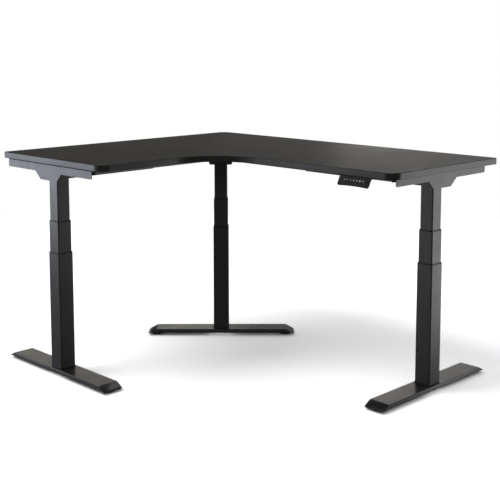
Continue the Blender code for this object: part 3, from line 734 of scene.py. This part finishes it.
def arrow(way):
    """A chevron that points up (+1) or down (-1)."""
    half, rise = ARROW_HALF, way * ARROW_HALF / 2
    return flat_stroke([(-half, -rise), (0, rise), (half, -rise)], ARROW_STROKE)


def memory_mark():
    """A square with a dot in it."""
    half = MEMORY_HALF
    corners = [(-half, -half), (half, -half), (half, half), (-half, half)]
    outline = flat_stroke(corners, LEGEND_STROKE, closed=True)
    dot = skin([ring(half / 3, 0), ring(half / 3, LEGEND_THICKNESS)])
    return merged([(outline, Matrix()), (dot, Matrix())])


def reminder_mark():
    """A clock face with two hands."""
    up, right = CLOCK_HANDS
    rim = hoop(CLOCK_RADIUS, CLOCK_RADIUS - CLOCK_RIM, 0, LEGEND_THICKNESS)
    hands = flat_stroke([(0, up), (0, 0), (right, 0)], CLOCK_STROKE)
    return merged([(rim, Matrix()), (hands, Matrix())])


def make_key_marks(finishes):
    """Prints each key's mark on its cap, so that it moves with the key."""
    marks = {
        "up": arrow(1),
        "down": arrow(-1),
        "preset_1": digit("1"),
        "preset_2": digit("2"),
        "preset_3": digit("3"),
        "memory": memory_mark(),
        "reminder": reminder_mark(),
    }
    on_face = Matrix.Rotation(math.atan2(-KEYS_FACE.y, KEYS_FACE.z), 4, "X")
    for name, mark in marks.items():
        low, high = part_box(f"button_{name}")
        place = (low + high) / 2 + KEYS_FACE * (BUTTON_HALF_DEPTH + GAP / 4)
        mark.transform(Matrix.Translation(place) @ on_face)
        piece(f"legend_{name}", mark, finishes["legend"], f"button_{name}")


def make_details(finishes):
    for leg in LEG_TURNS:
        make_base_shade_ring(leg, finishes)
        make_glides(leg, finishes)
    for leg in ("left", "right"):
        make_flange_screws(leg, finishes)
        make_lock_screws(leg, finishes)
    make_corner_fasteners(finishes)
    make_cover_screws(finishes)
    make_sockets(finishes)
    make_key_marks(finishes)


# ---------------------------------------------------------------- stage
FLOOR_RADIUS = 30.0
SHADOW_REACH = (2.6, 4.2)  # the floor's shading fades to plain white between these distances
FLOOR_SEEN = 9.2  # over 1, so that the open floor burns out to white and keeps only its shadows
WORLD_LIGHT = 0.10
SUN_FROM = Vector((-0.45, -0.62, 1.15))
SUN_STRENGTH = 0.21
SUN_ANGLE = 34  # degrees across, for soft shadows

# name: (place, width and height, watts, colour, target). The tall ones reach below the floor, which hides
# nothing from them, so that upright faces mirror them down to the feet.
SOFTBOXES = {
    "left_panel": ((-3.1, -2.4, 0.80), (1.8, 1.5), 41, (0.85, 0.90, 1.0), (-0.46, -0.6, 0.65)),
    "front_panel": ((-1.0, -2.2, 0.35), (1.4, 1.9), 6.0, (1.0, 0.98, 1.0), (0.5, 0.2, 0.35)),
    "right_panel": ((2.1, 2.3, 0.4), (1.5, 1.8), 23, (1.0, 0.99, 0.98), (0.75, 0.3, 0.5)),
    "low_back_strip": ((-2.4, 1.0, 0.70), (1.8, 0.34), 3.4, (1.0, 0.95, 0.87), (-0.45, -0.2, 0.03)),
    "left_back_panel": ((-3.4, 1.6, 1.3), (2.2, 0.9), 1.8, (1.0, 0.88, 0.70), (-0.2, -0.2, 0.2)),
    "back_panel": ((-2.2, 3.0, 1.25), (1.6, 0.8), 2.3, (1.0, 0.92, 0.82), (0, 0.2, 0.2)),
    "overhead": ((-0.2, 0.1, 3.4), (2.4, 2.4), 14, (1.0, 0.99, 0.97), (-0.1, 0.1, 0)),
    "camera_fill": ((3.4, -3.2, 2.6), (1.6, 1.2), 20, (1.0, 0.98, 0.95), (0, 0, 0.5)),
    "high_back_fill": ((0.4, 4.4, 3.4), (2.4, 1.2), 14, (1.0, 0.99, 0.98), (0, 0.4, 0.5)),
    "right_back_panel": ((-1.3, 3.2, 1.25), (1.4, 0.55), 5.4, (1.0, 0.96, 0.91), (0.4, 0.3, 0.8)),
}


def floor_material():
    """White where it is open, with soft shadows that fade out at a distance."""
    made = bpy.data.materials.new("floor")
    made.use_nodes = True
    tree = made.node_tree
    tree.nodes.clear()
    output = tree.nodes.new("ShaderNodeOutputMaterial")
    diffuse = tree.nodes.new("ShaderNodeBsdfDiffuse")
    tone = tree.nodes.new("ShaderNodeValue").outputs["Value"]
    tone.default_value = FLOOR_SEEN
    tree.links.new(tone, diffuse.inputs["Color"])
    white = add_node(tree, "ShaderNodeEmission", Strength=1.0)
    distance = add_node(tree, "ShaderNodeVectorMath", operation="LENGTH")
    place = tree.nodes.new("ShaderNodeTexCoord").outputs["Object"]
    tree.links.new(place, distance.inputs[0])
    fade = add_node(tree, "ShaderNodeMapRange", interpolation_type="SMOOTHSTEP")
    fade.inputs["From Min"].default_value, fade.inputs["From Max"].default_value = SHADOW_REACH
    tree.links.new(distance.outputs["Value"], fade.inputs["Value"])
    mix = tree.nodes.new("ShaderNodeMixShader")
    tree.links.new(fade.outputs["Result"], mix.inputs["Fac"])
    tree.links.new(diffuse.outputs["BSDF"], mix.inputs[1])
    tree.links.new(white.outputs["Emission"], mix.inputs[2])
    tree.links.new(mix.outputs["Shader"], output.inputs["Surface"])
    return made


def make_floor():
    """The floor, which only the camera sees, so that light and reflections come from below it too."""
    bpy.ops.mesh.primitive_circle_add(vertices=96, radius=FLOOR_RADIUS, fill_type="NGON")
    floor = bpy.context.object
    floor.name = "floor"
    floor.data.materials.append(floor_material())
    floor.visible_diffuse = False
    floor.visible_glossy = False
    floor.visible_shadow = False
    return floor


def all_but(floor):
    """A group of receivers for lights that leave the floor out."""
    group = bpy.data.collections.new("all_but_floor")
    group.objects.link(floor)
    group.collection_objects[0].light_linking.link_state = "EXCLUDE"
    return group


def add_light(name, kind, energy, colour, place, target):
    """A light at a place, turned towards a target. The camera doesn't see it."""
    data = bpy.data.lights.new(name, kind)
    data.energy = energy
    data.color = colour
    light = bpy.data.objects.new(name, data)
    light.location = place
    light.rotation_euler = (Vector(target) - Vector(place)).to_track_quat("-Z", "Y").to_euler()
    light.visible_camera = False
    bpy.context.scene.collection.objects.link(light)
    return light


def make_world():
    """White for the camera, dimmer for everything it lights."""
    world = bpy.data.worlds.new("studio")
    world.use_nodes = True
    tree = world.node_tree
    ground = tree.nodes["Background"]
    ground.inputs["Color"].default_value = (1, 1, 1, 1)
    path = tree.nodes.new("ShaderNodeLightPath")
    level = add_node(tree, "ShaderNodeMapRange", **{"To Min": WORLD_LIGHT, "To Max": 1.0})
    tree.links.new(path.outputs["Is Camera Ray"], level.inputs["Value"])
    tree.links.new(level.outputs["Result"], ground.inputs["Strength"])
    bpy.context.scene.world = world


def make_studio():
    floor = make_floor()
    make_world()
    receivers = all_but(floor)
    for name, (place, size, power, colour, target) in SOFTBOXES.items():
        softbox = add_light(name, "AREA", power, colour, place, target)
        softbox.data.shape = "RECTANGLE"
        softbox.data.size, softbox.data.size_y = size
        softbox.light_linking.receiver_collection = receivers
    sun = add_light("soft_sun", "SUN", SUN_STRENGTH, (1.0, 0.99, 0.98), SUN_FROM, (0, 0, 0))
    sun.data.angle = math.radians(SUN_ANGLE)
    bpy.context.scene.view_settings.view_transform = "Standard"


def main():
    make_camera()
    finishes = make_finishes()
    dress_frame(finishes)
    make_skins()
    make_details(finishes)
    make_studio()


main()
